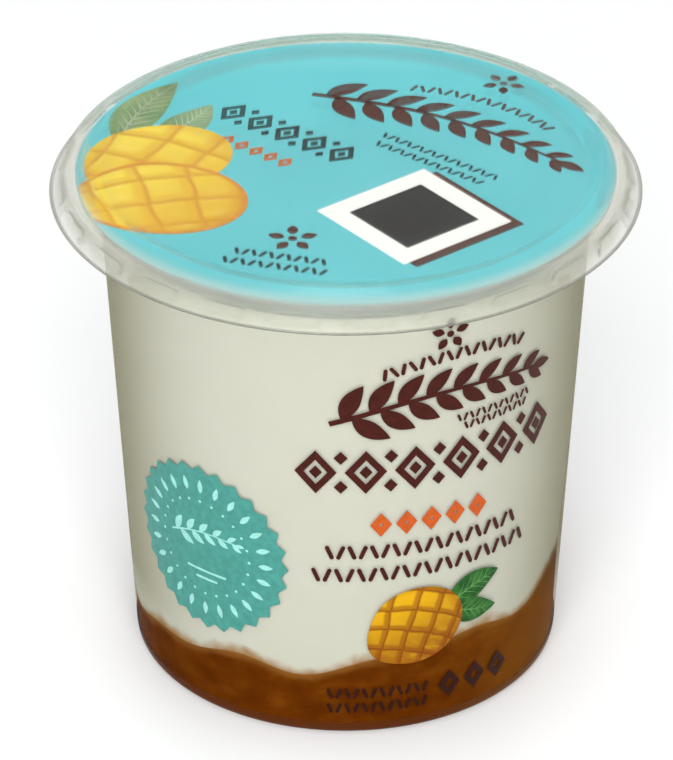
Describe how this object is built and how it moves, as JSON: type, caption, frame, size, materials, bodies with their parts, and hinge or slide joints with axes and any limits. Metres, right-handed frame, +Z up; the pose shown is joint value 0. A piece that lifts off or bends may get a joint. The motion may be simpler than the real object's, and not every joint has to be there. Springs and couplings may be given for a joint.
{
  "type": "yogurt pot",
  "caption": "Shut tapered cup of layered yogurt: cooked mango at the foot under white yogurt, a printed round seal on the rim and a clear lid, pressed over it, with a raised ridge",
  "frame": {"origin": "middle of the foot ring, on the surface that the pot stands on", "axes": "+Z up along the cup's axis, -Y to the front of the print, +X to the right of it"},
  "size_m": [0.1044, 0.1044, 0.0978],
  "materials": {
    "cup_plastic": "thin translucent moulded plastic with printed decoration",
    "mango": "wet cooked mango, amber brown",
    "yogurt": "smooth creamy white yogurt",
    "seal_print": "printed film, turquoise",
    "lid_plastic": "thin clear moulded plastic, slightly cloudy"
  },
  "bodies": {
    "root": {"cup": "cup_plastic", "mango_layer": "mango", "yogurt": "yogurt", "seal": "seal_print", "lid": "lid_plastic"}
  },
  "joints": []
}
